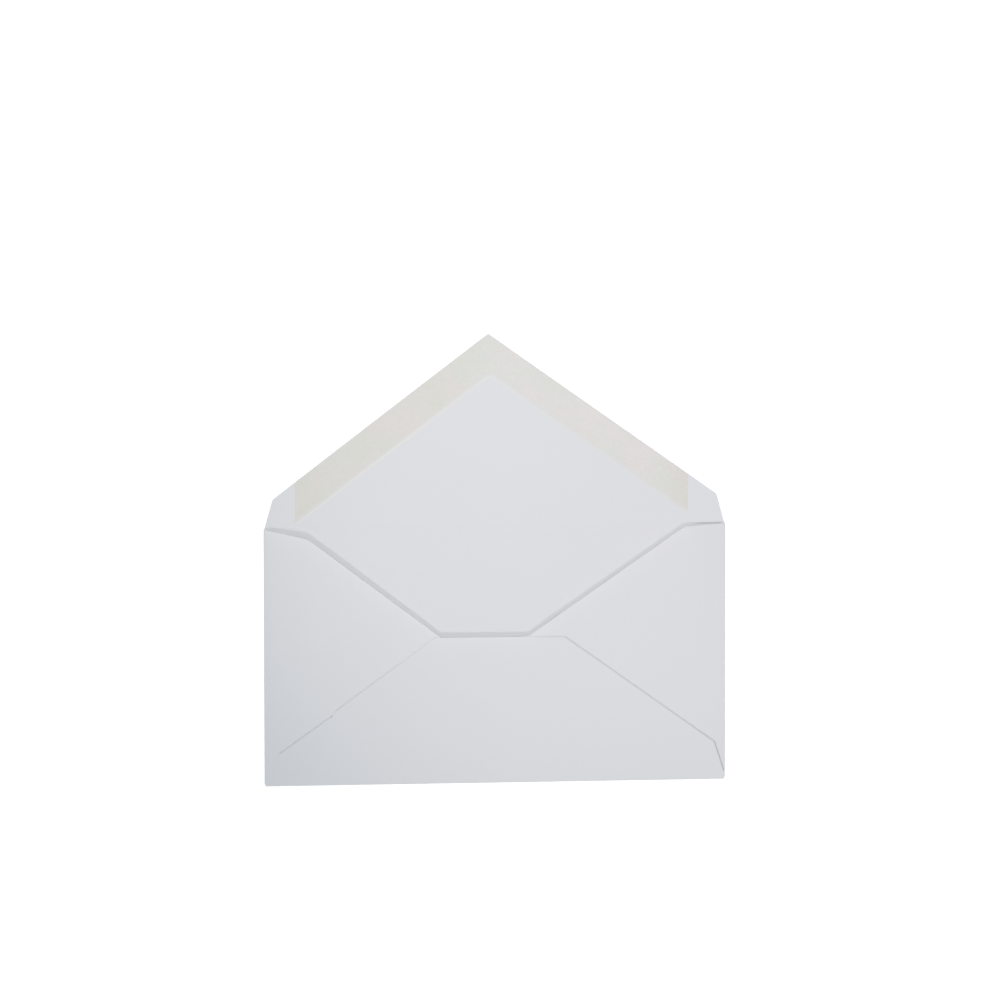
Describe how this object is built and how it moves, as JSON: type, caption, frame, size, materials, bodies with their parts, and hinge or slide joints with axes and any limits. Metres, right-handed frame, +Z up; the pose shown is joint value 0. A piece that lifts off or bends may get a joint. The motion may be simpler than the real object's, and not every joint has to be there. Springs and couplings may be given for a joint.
{
  "type": "paper envelope",
  "caption": "Open paper envelope lying face down, with diagonal back seams and a pointed seal flap with a dried gum band.",
  "frame": {"origin": "middle of the front panel's outer face, on the surface that the envelope lies on", "axes": "+X along the long side, +Y towards the tip of the open seal flap, +Z up, out of the back of the envelope"},
  "size_m": [0.165, 0.1602, 0.0072],
  "materials": {
    "paper": "uncoated white wove paper, matt",
    "gum": "dried remoistenable gum, faint cream colour, slight satin gloss",
    "seam_glue": "dried seam adhesive, hidden between two layers of paper"
  },
  "bodies": {
    "root": {"paper_sheet": "paper", "flap_gum": "gum", "left_seam_glue": "seam_glue", "right_seam_glue": "seam_glue"}
  },
  "joints": []
}
